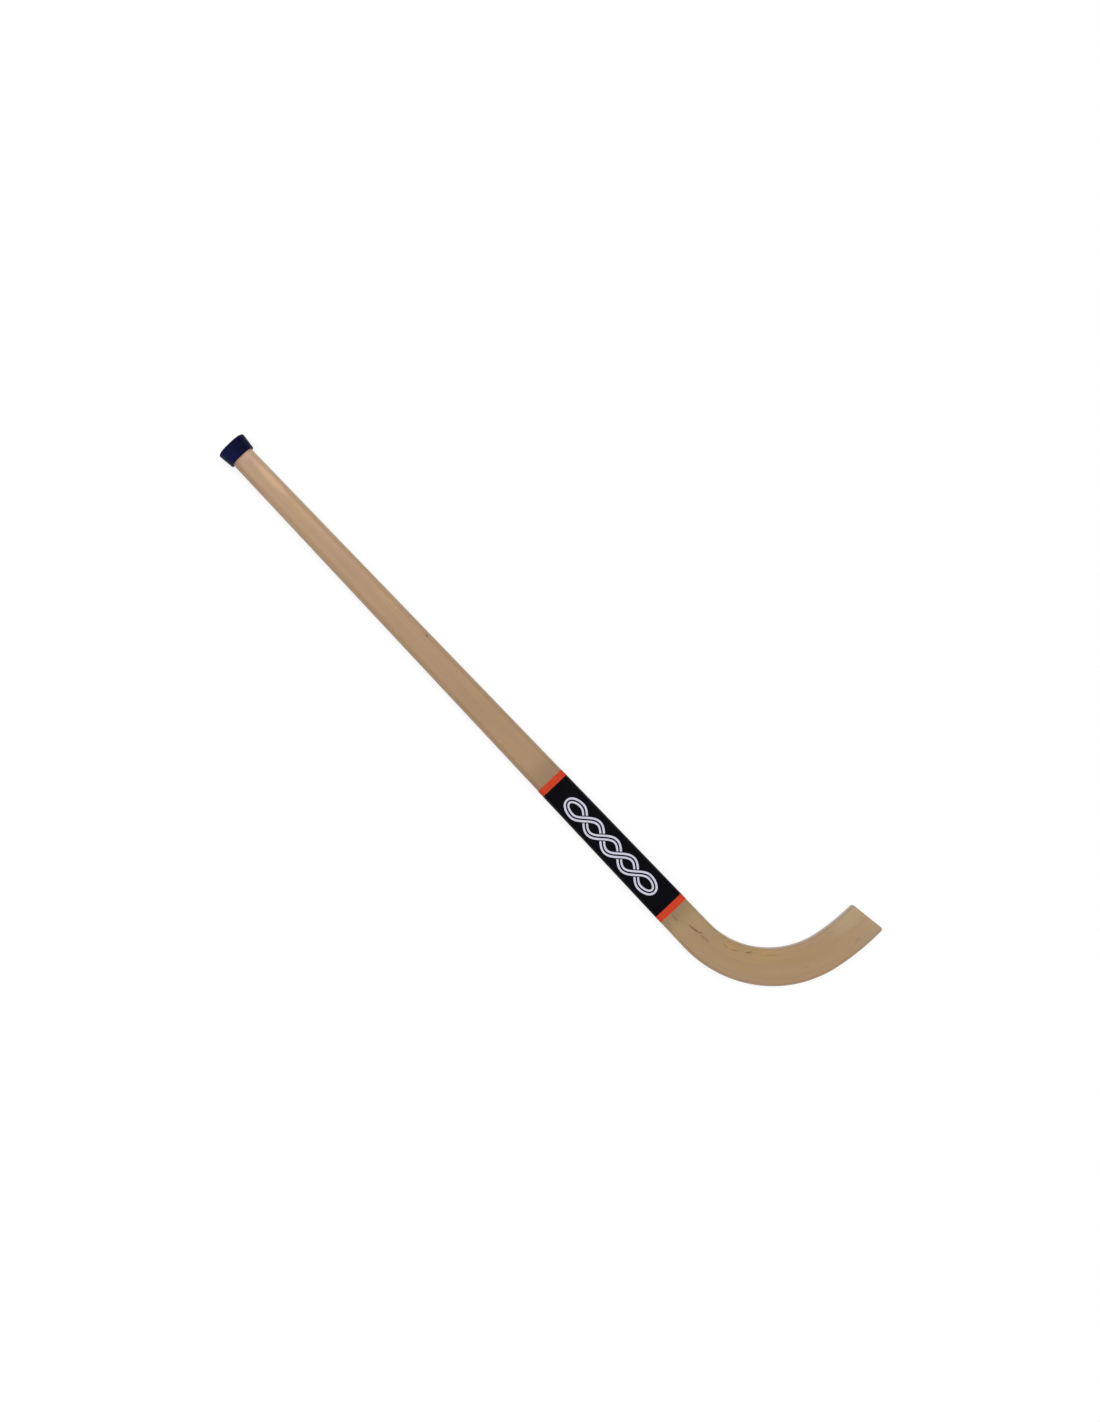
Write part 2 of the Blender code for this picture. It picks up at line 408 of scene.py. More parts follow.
def film(name, start, end, node, material):
    """A sleeve of thin film round the shaft, with its free end lapped over on the outer side."""
    lap = ((LAP_HALF + LAP_RAMP, 0.0), (LAP_HALF, 1.0), (-LAP_HALF, 1.0), (-LAP_HALF - LAP_CUT, 0.0))
    underside_lap = tuple((z, 0.0) for z, _ in lap)
    bevel = (FILM_TOP - WOOD_GAP) * FILM_BEVEL_SHARE
    steps = max(round((end - start) / FILM_STEP), 1)
    rings = [outline_ring(start, start, WOOD_GAP, underside_lap)]
    rings.append(outline_ring(start, start, FILM_TOP - bevel, lap))
    for i in range(steps + 1):
        s = blend(start + bevel, end - bevel, i / steps)
        rings.append(outline_ring(s, s, FILM_TOP, lap))
    rings.append(outline_ring(end, end, FILM_TOP - bevel, lap))
    rings.append(outline_ring(end, end, WOOD_GAP, underside_lap))
    faces = tube_faces(rings) + return_faces(rings)
    outwards(piece(name, rings, faces, material, node))


# The range that the noise nodes mostly keep to
NOISE_LOW = 0.2
NOISE_HIGH = 0.8


class Nodes:
    """A node tree, with short calls for the nodes that it is made of."""

    def __init__(self, tree):
        self.tree = tree

    def node(self, kind, inputs, **settings):
        """A new node with these settings, its inputs linked or set."""
        made = self.tree.nodes.new("ShaderNode" + kind)
        for name, value in settings.items():
            setattr(made, name, value)
        for slot, value in inputs.items():
            self.feed(made.inputs[slot], value)
        return made

    def feed(self, socket, value):
        """Links the socket to another one, or sets it to a plain value."""
        if isinstance(value, bpy.types.NodeSocket):
            self.tree.links.new(value, socket)
        else:
            socket.default_value = value

    def math(self, operation, *values):
        return self.node("Math", dict(enumerate(values)), operation=operation).outputs[0]

    def plus(self, first, second):
        return self.math("ADD", first, second)

    def minus(self, first, second):
        return self.math("SUBTRACT", first, second)

    def over(self, first, second):
        return self.math("DIVIDE", first, second)

    def absolute(self, value):
        return self.math("ABSOLUTE", value)

    def times(self, *factors):
        total = factors[0]
        for factor in factors[1:]:
            total = self.math("MULTIPLY", total, factor)
        return total

    def scaled(self, vector, factors):
        return self.node("VectorMath", {0: vector, 1: factors}, operation="MULTIPLY").outputs[0]

    def moved(self, vector, other):
        return self.node("VectorMath", {0: vector, 1: other}, operation="ADD").outputs[0]

    def length(self, vector):
        return self.node("VectorMath", {0: vector}, operation="LENGTH").outputs["Value"]

    def joined(self, x, y, z=0.0):
        return self.node("CombineXYZ", {0: x, 1: y, 2: z}).outputs[0]

    def noise(self, vector, kind, shift=None):
        """A noise of this kind, which is its scale, detail and roughness. Shift moves its pattern."""
        scale, detail, roughness = kind
        vector = self.scaled(vector, scale)
        if shift is not None:
            vector = self.moved(vector, shift)
        inputs = {"Vector": vector, "Scale": 1.0, "Detail": detail, "Roughness": roughness}
        return self.node("TexNoise", inputs).outputs["Fac"]

    def span(self, value, low, high, start=0.0, end=1.0, smooth=True):
        """Maps value from low..high to start..end, held at both ends.

        The ranges below are values for low and high and, where given, start and end.
        """
        inputs = {0: value, 1: low, 2: high, 3: start, 4: end}
        kind = "SMOOTHSTEP" if smooth else "LINEAR"
        return self.node("MapRange", inputs, interpolation_type=kind, clamp=True).outputs[0]

    def between(self, share, start, end):
        """The number that lies this share of the way from start to end."""
        return self.span(share, 0.0, 1.0, start, end, smooth=False)

    def follow(self, noise, start, end):
        """A number from start to end that follows a noise."""
        return self.span(noise, NOISE_LOW, NOISE_HIGH, start, end, smooth=False)

    def swing(self, noise, amount):
        """A factor round 1 that follows a noise by this amount each way."""
        return self.follow(noise, 1 - amount, 1 + amount)

    def dim(self, colour, factor):
        made = self.node("VectorMath", {0: colour, "Scale": factor}, operation="SCALE")
        return made.outputs[0]

    def tint(self, share, under, over):
        """The colour that lies this share of the way from under to over."""
        return self.node("Mix", {0: share, 6: under, 7: over}, data_type="RGBA").outputs[2]

    def tinted(self, colour, share, tone):
        """The colour multiplied by a tone, as far as share says."""
        return self.tint(share, colour, self.scaled(colour, tone))


class Shader(Nodes):
    """The nodes of a new material."""

    def __init__(self, name):
        self.material = bpy.data.materials.new(name)
        self.material.use_nodes = True
        super().__init__(self.material.node_tree)

    def grain(self):
        """The stick's own coordinates in millimetres: the vector, s, v and z."""
        raw = self.node("Attribute", {}, attribute_name=GRAIN).outputs["Vector"]
        vector = self.scaled(raw, (1 / MM,) * 3)
        parts = self.node("SeparateXYZ", {0: vector}).outputs
        return vector, parts[0], parts[1], parts[2]

    def finish(self, colour, roughness, height, relief, **constants):
        """Sets up the surface: its colour, roughness, and bumps of this relief from a height."""
        surface = self.tree.nodes["Principled BSDF"]
        bump = self.node("Bump", {"Height": height, "Strength": 1.0, "Distance": relief})
        self.feed(surface.inputs["Base Color"], colour)
        self.feed(surface.inputs["Roughness"], roughness)
        self.feed(surface.inputs["Normal"], bump.outputs[0])
        for name, value in constants.items():
            surface.inputs[name.replace("_", " ")].default_value = value
        return self.material


# Kinds of noise: repeats per millimetre along, across and up, then detail and roughness
WANDER = ((0.009, 0.05, 0.05), 2.0, 0.5)
RINGS = ((0.0035, 0.75, 0.22), 3.0, 0.55)
LINES = ((0.0065, 2.5, 2.5), 2.0, 0.6)
FIBRES = ((0.035, 3.6, 3.6), 3.0, 0.6)
PATCHES = ((0.013, 0.085, 0.10), 3.0, 0.5)
WARMTH = ((0.020, 0.075, 0.10), 2.0, 0.5)
END_RINGS = ((1.3, 1.0, 1.0), 3.0, 0.6)
END_DOTS = ((0.5, 5.0, 5.0), 3.0, 0.7)
RAGGED_EDGE = ((0.16, 0.7, 0.7), 4.0, 0.7)
THREADS = ((0.10, 1.9, 1.9), 3.0, 0.6)
RUBBER_TEXTURE = ((3.2, 3.2, 3.2), 4.0, 0.6)
RUBBER_CLOUDS = ((0.14, 0.11, 0.11), 2.0, 0.5)
SCUFFS = ((0.9, 0.35, 0.35), 4.0, 0.65)
INK_CLOUDS = ((0.06, 0.12, 0.12), 3.0, 0.5)
FILM_TEXTURE = ((2.4, 2.4, 2.4), 2.0, 0.5)
SCRATCHES = ((0.10, 5.0, 5.0), 3.0, 0.7)

# Shifts that keep a noise from falling together with others
WARMTH_SHIFT = (9.0, 4.0, 2.0)
SCUFF_SHIFT = (5.0, 1.0, 3.0)
SCRATCH_SHIFT = (3.0, 7.0, 1.0)

# Wood colour along the stick: share of its length, then linear red, green and blue
WOOD_TONES = (
    (0.02, (0.468, 0.305, 0.184)),
    (0.12, (0.441, 0.282, 0.164)),
    (0.28, (0.409, 0.256, 0.142)),
    (0.46, (0.382, 0.237, 0.129)),
    (0.80, (0.365, 0.244, 0.128)),
    (0.90, (0.371, 0.241, 0.125)),
    (1.00, (0.394, 0.267, 0.144)),
)

# Patches of another tone: the range of the warmth noise in which each sets in, and the tone
YELLOWER = ((0.48, 0.30), (0.995, 1.015, 0.92))
PINKER = ((0.52, 0.70), (1.02, 0.990, 1.04))

# Soft zones of another tone, in millimetres: s, v, half length, half width, tone. Those on the handle
# are painted light: a painted highlight on its inner side and painted shade along its outer edge
TONE_AND_PAINTED_LIGHT_ZONES = (
    (880.0, 12.0, 75.0, 14.0, (1.02, 1.00, 0.86)),
    (1006.0, 15.0, 32.0, 13.0, (1.06, 1.12, 1.22)),
    (1010.0, -17.0, 24.0, 9.0, (0.95, 1.00, 1.10)),
    (880.0, -19.0, 75.0, 7.0, (1.04, 1.04, 1.12)),
    (838.0, 13.0, 13.0, 4.5, (1.10, 1.02, 0.88)),
    (890.0, 16.5, 12.0, 4.0, (1.10, 1.03, 0.92)),
    (768.0, 4.0, 14.0, 14.0, (0.95, 0.99, 0.88)),
    # Painted highlight on the inner side of the handle, and a broader, weaker one round it
    (60.0, 7.2, 38.0, 6.0, (1.25, 1.19, 1.26)),
    (100.0, 5.0, 68.0, 8.0, (1.09, 1.07, 1.05)),
    # Painted shade along the outer edge of the handle, near the cap
    (40.0, -12.5, 46.0, 4.2, (0.86, 0.83, 0.81)),
    (26.0, -12.0, 12.0, 5.0, (0.94, 0.91, 0.91)),
    # Painted highlight on the inner side of the handle, beside the cap
    (20.0, 6.0, 12.0, 10.0, (1.16, 1.15, 1.22)),
)

# Dark streaks on the upper side, in millimetres: s, v, half length, half width, slope, strength
STREAKS = (
    (764.0, -4.2, 7.5, 2.2, -0.06, 0.48),
    (787.5, 2.7, 9.0, 1.4, 0.10, 0.95),
    (792.5, 3.6, 5.0, 1.5, 0.14, 1.00),
    (797.5, 5.4, 4.4, 1.0, 0.55, 1.00),
    (806.0, 4.0, 9.0, 1.5, 0.10, 0.62),
    (833.5, 11.4, 6.5, 1.0, -0.28, 0.60),
    (846.0, 11.6, 8.0, 1.0, 0.18, 0.50),
    (865.0, 14.7, 6.2, 1.5, 0.30, 1.00),
    (895.0, 15.0, 11.0, 1.2, -0.02, 0.40),
    (935.0, -5.6, 6.5, 1.4, -0.05, 0.20),
    (979.0, 17.0, 6.0, 1.0, -0.35, 0.30),
    (1000.5, -10.2, 5.0, 1.8, 0.08, 0.32),
)
KNOT = (323.6, 12.5, 2.8, 1.5, 0.1, 0.85)
SPECK = (310.4, -10.2, 1.1, 0.7, 0.1, 0.75)
STREAK_TONE = (0.095, 0.050, 0.018, 1.0)
KNOT_TONE = (0.12, 0.050, 0.045, 1.0)
SPECK_TONE = (0.30, 0.11, 0.035, 1.0)

# Where they set in over the middle plane, how ragged their edges are, and the threads in them
UPPER_RANGE = (4.0, 6.0)
RAGGED_REACH = 1.1
SPOT_RAGGED_SHARE = 0.3
THREAD_RANGE = (0.36, 0.60, 0.35, 1.0)

# Each lamella's own pattern is moved by up to this much, and its fibres wander this far each way
STRIP_SHIFT = (700.0, 37.0, 53.0)
WANDER_REACH = 5.0

# Pores: repeats per millimetre, and the distance from a pore's middle
PORE_SCALE = (0.30, 2.1, 2.1)
PORE_RANGE = (0.30, 0.12)

# Glue lines: the distance from a lamella's side, in shares of its width
GLUE_RANGE = (0.016, 0.034, 1.0, 0.0)

# Skin that cuts the fibres across: how far it faces along the stick
CUT_ACROSS_RANGE = (0.30, 0.85)

# How much each thing changes the wood's brightness, along the fibres and where they are cut across
RING_SWING = 0.040
LINE_SWING = 0.060
FIBRE_SWING = 0.060
PATCH_SWING = 0.055
STRIP_LIGHT = (0.985, 1.015)
PORE_LIGHT = 0.84
GLUE_LIGHT = 0.94
END_LIGHT = 0.80
END_RING_SWING = 0.20
END_DOT_SWING = 0.16
END_STRIP_LIGHT = (0.94, 1.06)
END_GLUE_LIGHT = 0.68

# The wood is darker beside the wrap: from and to these distances before and after the wrap
DARKER_BEFORE_WRAP = (34.0, 4.0)
DARKER_AFTER_WRAP = (22.0, 3.0)
BESIDE_WRAP_LIGHT = 0.80

# Field in which each lamella has the centre of its growth rings: across, up and along
RING_FIELD_SIZE = (30.0, 60.0, 0.0)
RING_FIELD_START = (-15.0, -30.0, 0.0)

# Lacquer: its roughness, and the relief of the wood that shows through it
WOOD_ROUGHNESS = (0.38, 0.48)
END_ROUGHER = 0.12
LINE_HEIGHT = 0.8
PORE_DEPTH = 0.6
WOOD_RELIEF = 0.02 * MM


def spot_mask(shader, s, v, ragged, spot):
    """How much a soft slanting spot covers: s, v, half length, half width, slope, strength."""
    at_s, at_v, half_length, half_breadth, slope, strength = spot
    ds = shader.minus(s, at_s)
    dv = shader.minus(shader.minus(v, at_v), shader.times(ds, slope))
    u = shader.over(ds, half_length)
    w = shader.over(shader.plus(dv, ragged), half_breadth)
    square = shader.plus(shader.times(u, u), shader.times(w, w))
    return shader.span(square, 1.0, 0.0, 0.0, strength)


def strip_of(shader, v):
    """How far into its lamella a point lies, from 0 to 1, and a vector and a number of its own."""
    place_in = shader.plus(v, (BLADE_WIDTH + GLUE_LINE) / MM / 2)
    place_in = shader.over(place_in, LAMELLA_PITCH / MM)
    index = shader.math("FLOOR", place_in)
    chance = shader.node("TexWhiteNoise", {"W": index}, noise_dimensions="1D").outputs
    return shader.minus(place_in, index), chance["Color"], chance["Value"]


def tone_along(shader, s):
    """Wood colour along the stick, paler at the butt and yellower towards the blade."""
    ramp = shader.node("ValToRGB", {0: shader.over(s, STICK_LENGTH / MM)})
    elements = ramp.color_ramp.elements
    while len(elements) < len(WOOD_TONES):
        elements.new(1.0)
    for element, (share, colour) in zip(elements, WOOD_TONES):
        element.position = share
        element.color = (*colour, 1.0)
    return ramp.outputs[0]


def wood_tone(shader, grain, s, v):
    """The wood's colour without its grain, with yellower and pinker patches and soft zones, some of
    them painted highlight and painted shade on the handle.
    """
    colour = tone_along(shader, s)
    warmth = shader.noise(grain, WARMTH, WARMTH_SHIFT)
    for warmth_range, tone in (YELLOWER, PINKER):
        colour = shader.tinted(colour, shader.span(warmth, *warmth_range), tone)
    for *area, tone in TONE_AND_PAINTED_LIGHT_ZONES:
        mask = spot_mask(shader, s, v, 0.0, (*area, 0.0, 1.0))
        colour = shader.tinted(colour, mask, tone)
    return colour


def darker_beside_wrap(shader, s):
    """A factor that darkens the wood beside the wrap."""
    start, end = along("upper_stripe")[0] / MM, along("lower_stripe")[1] / MM
    before = shader.span(s, start - DARKER_BEFORE_WRAP[0], start - DARKER_BEFORE_WRAP[1])
    after = shader.span(s, end + DARKER_AFTER_WRAP[0], end + DARKER_AFTER_WRAP[1])
    return shader.between(shader.times(before, after), 1.0, BESIDE_WRAP_LIGHT)


def end_rings(shader, v, z, own):
    """Growth rings cut across: arcs round a centre that each lamella has for itself."""
    centre = shader.moved(shader.scaled(own, RING_FIELD_SIZE), RING_FIELD_START)
    reach = shader.length(shader.moved(shader.joined(v, z), centre))
    return shader.noise(shader.joined(reach, 0.0), END_RINGS)


def marks(shader, colour, grain, s, v, z):
    """Dark streaks, a small knot and a speck, on the upper side only."""
    upper = shader.span(z, *UPPER_RANGE)
    ragged = shader.follow(shader.noise(grain, RAGGED_EDGE), -RAGGED_REACH, RAGGED_REACH)
    threads = shader.span(shader.noise(grain, THREADS), *THREAD_RANGE)
    total = 0.0
    for streak in STREAKS:
        total = shader.math("MAXIMUM", total, spot_mask(shader, s, v, ragged, streak))
    colour = shader.tint(shader.times(total, threads, upper), colour, STREAK_TONE)
    slight = shader.times(ragged, SPOT_RAGGED_SHARE)
    for spot, tone in ((KNOT, KNOT_TONE), (SPECK, SPECK_TONE)):
        mask = spot_mask(shader, s, v, slight, spot)
        colour = shader.tint(shader.times(mask, upper), colour, tone)
    return colour


def wood(name):
    """Pale lacquered wood. Where its fibres are cut across, it is darker and has arcs and dots."""
    shader = Shader(name)
    grain, s, v, z = shader.grain()
    cut_across = shader.node("Attribute", {}, attribute_name=ENDWISE).outputs["Fac"]
    cut_across = shader.span(cut_across, *CUT_ACROSS_RANGE)

    # Each lamella is another strip of wood, with its own rings and tone
    into, own_vector, own_number = strip_of(shader, v)
    own = shader.scaled(own_vector, STRIP_SHIFT)
    to_glue = shader.minus(0.5, shader.absolute(shader.minus(into, 0.5)))
    glue = shader.span(to_glue, *GLUE_RANGE)

    # Slow wander of the fibres, then rings, lines, fibres and pores along it
    wander = shader.between(shader.noise(grain, WANDER, own), -WANDER_REACH, WANDER_REACH)
    waved = shader.moved(shader.moved(grain, own), shader.joined(0.0, wander))
    rings = shader.noise(waved, RINGS)
    lines = shader.noise(waved, LINES)
    fibres = shader.noise(waved, FIBRES)
    inputs = {"Vector": shader.scaled(waved, PORE_SCALE), "Scale": 1.0, "Randomness": 1.0}
    cells = shader.node("TexVoronoi", inputs, feature="F1").outputs["Distance"]
    pores = shader.span(cells, *PORE_RANGE)

    along_light = shader.times(
        shader.swing(rings, RING_SWING),
        shader.swing(lines, LINE_SWING),
        shader.swing(fibres, FIBRE_SWING),
        shader.swing(shader.noise(grain, PATCHES), PATCH_SWING),
        shader.between(own_number, *STRIP_LIGHT),
        darker_beside_wrap(shader, s),
        shader.between(pores, 1.0, PORE_LIGHT),
        shader.between(glue, 1.0, GLUE_LIGHT),
    )
    across_light = shader.times(
        shader.swing(end_rings(shader, v, z, own_vector), END_RING_SWING),
        shader.swing(shader.noise(grain, END_DOTS), END_DOT_SWING),
        shader.between(own_number, *END_STRIP_LIGHT),
        shader.between(glue, 1.0, END_GLUE_LIGHT),
        END_LIGHT,
    )
    light = shader.between(cut_across, along_light, across_light)
    colour = shader.dim(wood_tone(shader, grain, s, v), light)
    colour = marks(shader, colour, grain, s, v, z)

    roughness = shader.follow(fibres, *WOOD_ROUGHNESS)
    roughness = shader.plus(roughness, shader.times(cut_across, END_ROUGHER))
    height = shader.plus(fibres, shader.times(lines, LINE_HEIGHT))
    height = shader.minus(height, shader.times(pores, PORE_DEPTH))
    lacquer = {"Coat_Weight": 0.35, "Coat_Roughness": 0.28, "Specular_IOR_Level": 0.42}
    return shader.finish(colour, roughness, height, WOOD_RELIEF, **lacquer)


# Rubber: its tones, and where it grows paler across the cap (v), a painted light on its outer side, and
# where it is rubbed towards its end (s)
RUBBER_TONE = (0.0022, 0.0032, 0.0240, 1.0)
RUBBER_PAINTED_LIGHT_TONE = (0.0064, 0.0100, 0.0480, 1.0)
RUBBER_RUBBED_TONE = (0.014, 0.014, 0.044, 1.0)
PAINTED_LIGHT_RANGE = (11.0, -13.0)
PAINTED_LIGHT_SWING = 0.25
RUBBED_RANGE = (3.2, 0.6)
SCUFF_RANGE = (0.52, 0.70, 0.0, 0.5)
RUBBER_SWING = 0.12
RUBBER_ROUGHNESS = (0.46, 0.58)
RUBBER_RELIEF = 0.03 * MM


def rubber():
    """Dark blue rubber with a fine moulded texture, with painted light that makes it paler on the outer
    side, and rubbed at the end.
    """
    shader = Shader("navy_rubber")
    grain, s, v, _ = shader.grain()
    texture = shader.noise(grain, RUBBER_TEXTURE)
    clouds = shader.noise(grain, RUBBER_CLOUDS)
    scuffs = shader.span(shader.noise(grain, SCUFFS, SCUFF_SHIFT), *SCUFF_RANGE)
    rubbed = shader.times(scuffs, shader.span(s, *RUBBED_RANGE))
    # Painted light: the cap grows paler towards its outer side
    painted_light = shader.times(shader.span(v, *PAINTED_LIGHT_RANGE), shader.swing(clouds, PAINTED_LIGHT_SWING))
    colour = shader.tint(painted_light, RUBBER_TONE, RUBBER_PAINTED_LIGHT_TONE)
    colour = shader.tint(rubbed, colour, RUBBER_RUBBED_TONE)
    colour = shader.dim(colour, shader.swing(texture, RUBBER_SWING))
    roughness = shader.follow(clouds, *RUBBER_ROUGHNESS)
    return shader.finish(colour, roughness, texture, RUBBER_RELIEF, Specular_IOR_Level=0.07)


# Plaited ornament on the wrap, in millimetres
PLAIT_START = 579.0
PLAIT_LOBE = 29.0
PLAIT_LOBES = 5
PLAIT_SWING = 8.6
PLAIT_MIDDLE = -1.2
LINE_OFFSET = 2.15
LINE_HALF = 1.20
LINE_SOFT = 0.12
CROSSING_GAP = 1.3


def strand(shader, s, v, side):
    """Distance from one of the two waving strands, side being 1 or -1."""
    turn = math.pi / PLAIT_LOBE
    phase = shader.times(shader.minus(s, PLAIT_START), turn)
    wave = shader.times(shader.math("SINE", phase), side * PLAIT_SWING)
    slope = shader.times(shader.math("COSINE", phase), PLAIT_SWING * turn)
    steep = shader.math("SQRT", shader.plus(shader.times(slope, slope), 1.0))
    off = shader.minus(shader.minus(v, PLAIT_MIDDLE), wave)
    return shader.absolute(shader.over(off, steep))


def strand_end(shader, s, v, middle):
    """Distance from the round end in which the two strands close, an ellipse round middle."""
    u = shader.over(shader.minus(s, middle), PLAIT_LOBE / 2)
    w = shader.over(shader.minus(v, PLAIT_MIDDLE), PLAIT_SWING)
    far = shader.length(shader.joined(u, w))
    steep = shader.length(shader.joined(shader.over(u, PLAIT_LOBE / 2), shader.over(w, PLAIT_SWING)))
    off = shader.times(shader.minus(far, 1.0), far)
    return shader.absolute(shader.over(off, steep))


def double_line(shader, away):
    """The pair of pale lines that a strand is drawn as, from the distance to its middle."""
    from_line = shader.absolute(shader.minus(away, LINE_OFFSET))
    return shader.span(from_line, LINE_HALF + LINE_SOFT, LINE_HALF - LINE_SOFT)


def plait(shader, s, v):
    """Two strands, each a pair of lines, which pass over and under each other between round ends."""
    lines, bands = [], []
    reach = LINE_OFFSET + LINE_HALF + CROSSING_GAP
    for side in (1, -1):
        away = strand(shader, s, v, side)
        lines.append(double_line(shader, away))
        bands.append(shader.span(away, reach + LINE_SOFT, reach - LINE_SOFT))

    # The first strand passes under at odd crossings and the second at even ones: its lines stop there
    lobe = shader.over(shader.minus(s, PLAIT_START), PLAIT_LOBE)
    odd = shader.math("MODULO", shader.math("FLOOR", shader.plus(lobe, 0.5)), 2.0)
    even = shader.minus(1.0, odd)
    first = shader.times(lines[0], shader.minus(1.0, shader.times(bands[1], odd)))
    second = shader.times(lines[1], shader.minus(1.0, shader.times(bands[0], even)))
    drawn = shader.math("MAXIMUM", first, second)

    # Beyond the middle of the first and of the last lobe, the round ends take over
    for lobes, beyond in ((0.5, "LESS_THAN"), (PLAIT_LOBES - 0.5, "GREATER_THAN")):
        middle = PLAIT_START + PLAIT_LOBE * lobes
        at_end = shader.math(beyond, s, middle)
        closing = shader.times(double_line(shader, strand_end(shader, s, v, middle)), at_end)
        drawn = shader.plus(closing, shader.times(drawn, shader.minus(1.0, at_end)))
    return drawn


# Printed film: its inks, and the scratches that make them paler and duller
ORANGE_INK = (0.580, 0.049, 0.017)
BLACK_INK = (0.0028, 0.0027, 0.0047)
PALE_INK = (0.60, 0.60, 0.72)
INK_SWING = 0.07
PALE_INK_SWING = 0.06
SCRATCH_RANGE = (0.70, 0.80, 0.0, 0.5)
SCRATCH_COVER = 0.6
SCRATCH_GAIN = 1.15
SCRATCH_HAZE = (0.004, 0.004, 0.005)
SCRATCH_ROUGHER = 0.15
FILM_ROUGHNESS = (0.34, 0.42)
FILM_RELIEF = 0.006 * MM


def printed(name, ink, ornament=False):
    """Satin printed film: ink that varies a little, fine scratches and a soft unevenness."""
    shader = Shader(name)
    grain, s, v, _ = shader.grain()
    clouds = shader.noise(grain, INK_CLOUDS)
    scratched = shader.span(shader.noise(grain, SCRATCHES, SCRATCH_SHIFT), *SCRATCH_RANGE)
    colour = shader.dim(ink, shader.swing(clouds, INK_SWING))
    if ornament:
        pale = shader.dim(PALE_INK, shader.swing(clouds, PALE_INK_SWING))
        colour = shader.tint(plait(shader, s, v), colour, pale)
    lighter = shader.moved(shader.dim(colour, SCRATCH_GAIN), SCRATCH_HAZE)
    colour = shader.tint(shader.times(scratched, SCRATCH_COVER), colour, lighter)
    roughness = shader.follow(clouds, *FILM_ROUGHNESS)
    roughness = shader.plus(roughness, shader.times(scratched, SCRATCH_ROUGHER))
    texture = shader.noise(grain, FILM_TEXTURE)
    return shader.finish(colour, roughness, texture, FILM_RELIEF, Specular_IOR_Level=0.08)


def wrap():
    """The three films round the shaft."""
    orange = printed("orange_print", ORANGE_INK)
    black = printed("black_print", BLACK_INK, ornament=True)
    upper, label, lower = (along(node) for node in ("upper_stripe", "label_wrap", "lower_stripe"))
    first = (upper[1] + label[0]) / 2
    second = (label[1] + lower[0]) / 2
    seam = FILM_SEAM / 2
    film("upper_stripe_film", upper[0], first - seam, "upper_stripe", orange)
    film("label_wrap_film", first + seam, second - seam, "label_wrap", black)
    film("lower_stripe_film", second + seam, lower[1], "lower_stripe", orange)


# Photograph's view: what it shows at the stick's middle plane, in metres from the butt end
VIEW_MIDDLE = (0.4871, 0.05665)
VIEW_HEIGHT = 1.678
VIEW_DISTANCE = 2.240
VIEW_TURN = math.radians(46.47)
SENSOR = 36.0


def camera():
    """Looks straight down on the stick, turned so that the blade is at the lower right."""
    data = bpy.data.cameras.new("camera")
    data.sensor_width = SENSOR
    data.lens = SENSOR * VIEW_DISTANCE / VIEW_HEIGHT
    obj = add("camera", data)
    obj.location = BUTT + Vector((*VIEW_MIDDLE, VIEW_DISTANCE))
    obj.rotation_euler = (0.0, 0.0, VIEW_TURN)
    bpy.context.scene.camera = obj


# Floor: its half side, its distance under the stick, the light that it gives back to the stick, and
# how bright it and its shadow look
FLOOR_HALF = 6.0
FLOOR_CLEARANCE = 0.0002
FLOOR_ALBEDO = 0.42
FLOOR_GLOW = 0.80
FLOOR_SHADE = 0.22


def grey(level):
    """A grey, or white, for a colour socket."""
    return level, level, level, 1.0


def floor():
    """A pale floor that touches the cap and the blade, as the stick lies on it."""
    rise = (BUTT.z - BLADE_THICKNESS / 2) / (CAD_BOX[1][0] - CAD_BOX[0][0])
    points = []
    for x, y in ((-1, -1), (1, -1), (1, 1), (-1, 1)):
        height = (x * FLOOR_HALF - CAD_BOX[0][0]) * rise - FLOOR_CLEARANCE
        points.append((x * FLOOR_HALF, y * FLOOR_HALF, height))
    mesh = bpy.data.meshes.new("floor")
    mesh.from_pydata(points, [], [(0, 1, 2, 3)])
    shader = Shader("floor")
    path = shader.node("LightPath", {}).outputs
    seen = shader.math("MAXIMUM", path["Is Camera Ray"], path["Is Glossy Ray"])
    seen = shader.math("MAXIMUM", seen, path["Is Transmission Ray"])
    glow = shader.node("Emission", {"Strength": FLOOR_GLOW}).outputs[0]
    shade = shader.node("BsdfDiffuse", {"Color": grey(FLOOR_SHADE)}).outputs[0]
    white = shader.node("AddShader", {0: glow, 1: shade}).outputs[0]
    plain = shader.node("BsdfDiffuse", {"Color": grey(FLOOR_ALBEDO)}).outputs[0]
    mixed = shader.node("MixShader", {0: seen, 1: plain, 2: white}).outputs[0]
    shader.feed(shader.tree.nodes["Material Output"].inputs["Surface"], mixed)
    mesh.materials.append(shader.material)
    add("floor", mesh)


# Lamps: azimuth, elevation and softness in degrees, and level
KEY_LAMP = (80.0, 76.0, 35.0, 0.48)
FILL_LAMP = (205.0, 70.0, 45.0, 0.36)

# The softbox behind the highlight along the handle: where it is, its size, its target and radiance
SOFTBOX_AT = (-0.66, 0.66, 1.2)
SOFTBOX_SIZE = (0.15, 1.0)
SOFTBOX_TARGET = (-0.42, -0.07, 0.02)
SOFTBOX_RADIANCE = 6.0

# World: its level up to a low height over the horizon, and from a greater height on
HORIZON = 1.0
HORIZON_UP_TO = 0.10
OVERHEAD = 0.08
OVERHEAD_FROM = 0.45


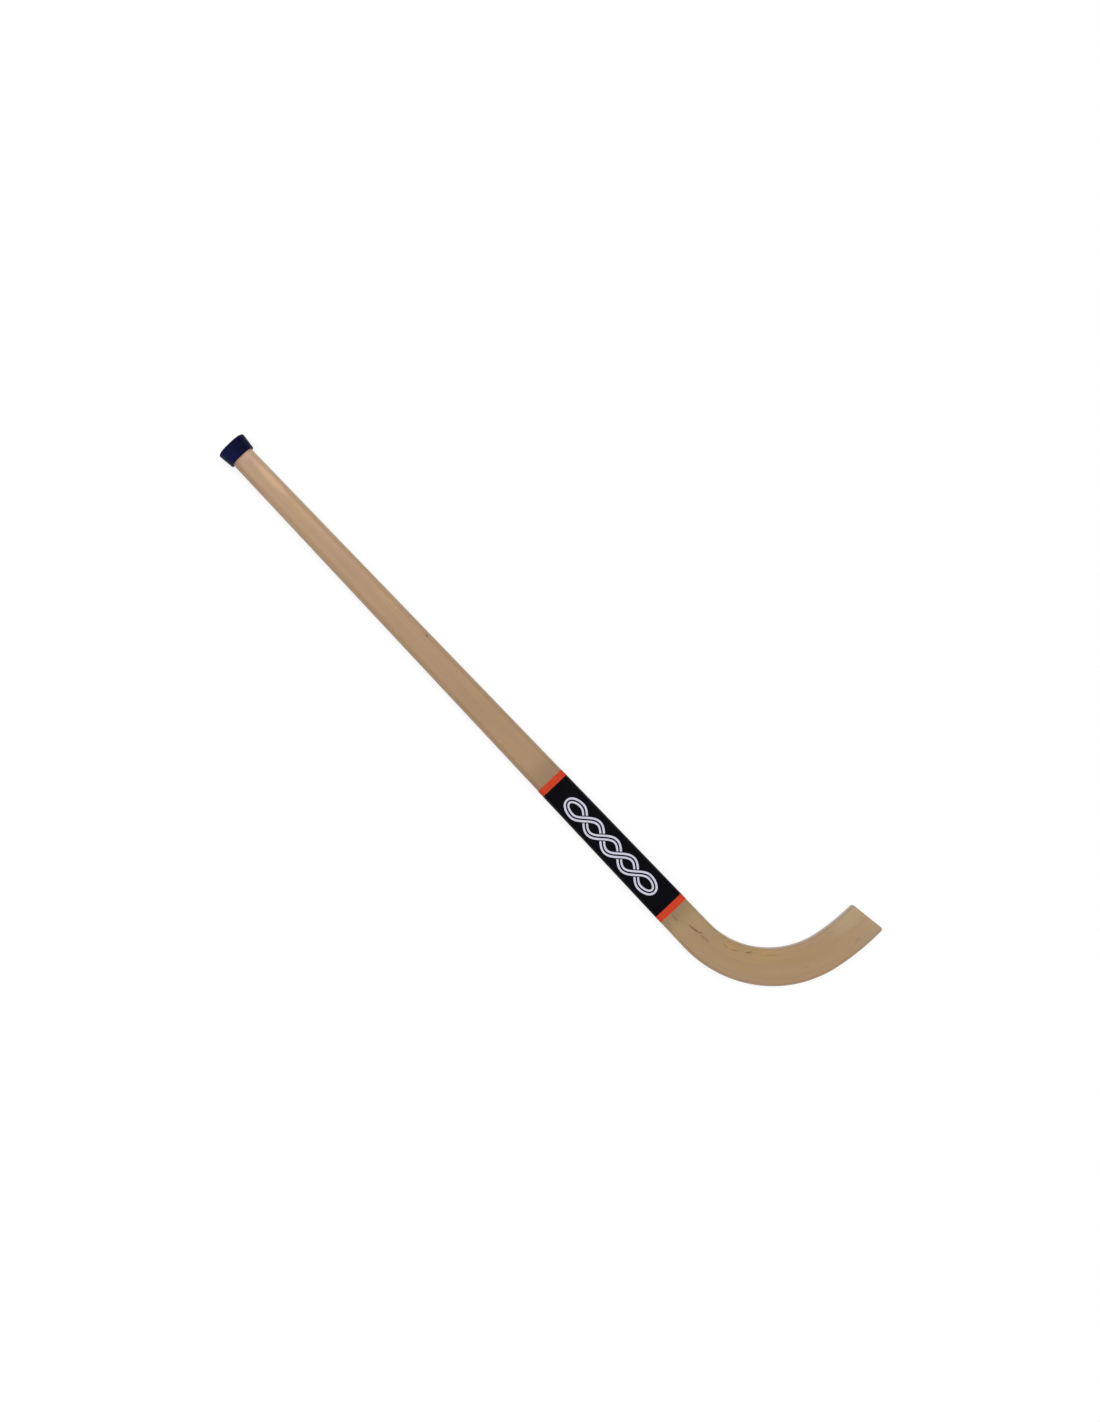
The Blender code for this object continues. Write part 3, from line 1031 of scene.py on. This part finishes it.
def lamp(name, azimuth, elevation, softness, level):
    """A far soft lamp without highlights. Level is what it adds to a white surface that faces up."""
    turn, height = math.radians(azimuth), math.radians(elevation)
    data = bpy.data.lights.new(name, "SUN")
    data.angle = math.radians(softness)
    data.energy = level * math.pi / math.sin(height)
    obj = add(name, data)
    level_reach = math.cos(height)
    towards = Vector((math.cos(turn) * level_reach, math.sin(turn) * level_reach, math.sin(height)))
    obj.rotation_euler = towards.to_track_quat("Z", "Y").to_euler()
    obj.visible_glossy = False


def softbox(name):
    """A panel that shows only as a highlight in glossy surfaces, aimed at a point on the stick."""
    data = bpy.data.lights.new(name, "AREA")
    data.shape = "RECTANGLE"
    data.size, data.size_y = SOFTBOX_SIZE
    data.energy = SOFTBOX_RADIANCE * math.pi * SOFTBOX_SIZE[0] * SOFTBOX_SIZE[1]
    obj = add(name, data)
    obj.location = SOFTBOX_AT
    towards = Vector(SOFTBOX_AT) - Vector(SOFTBOX_TARGET)
    obj.rotation_euler = towards.to_track_quat("Z", "Y").to_euler()
    obj.visible_camera = False
    obj.visible_diffuse = False


def sky():
    """A world that is white at the horizon and dim overhead."""
    world = bpy.data.worlds.new("studio")
    bpy.context.scene.world = world
    world.use_nodes = True
    nodes = Nodes(world.node_tree)
    direction = nodes.node("TexCoord", {}).outputs["Generated"]
    height = nodes.node("SeparateXYZ", {0: direction}).outputs[2]
    level = nodes.span(height, HORIZON_UP_TO, OVERHEAD_FROM, HORIZON, OVERHEAD, smooth=False)
    background = nodes.tree.nodes["Background"]
    nodes.feed(background.inputs["Color"], grey(1.0))
    nodes.feed(background.inputs["Strength"], level)


def main():
    """Makes the camera, the pieces, the floor and the light."""
    camera()
    lacquered = wood("lacquered_wood")
    for number in range(1, LAMELLA_COUNT + 1):
        lamella(number, lacquered)
    cap(rubber())
    wrap()
    floor()
    lamp("key", *KEY_LAMP)
    lamp("fill", *FILL_LAMP)
    softbox("handle_highlight")
    sky()
    bpy.context.scene.view_settings.view_transform = "Standard"


main()
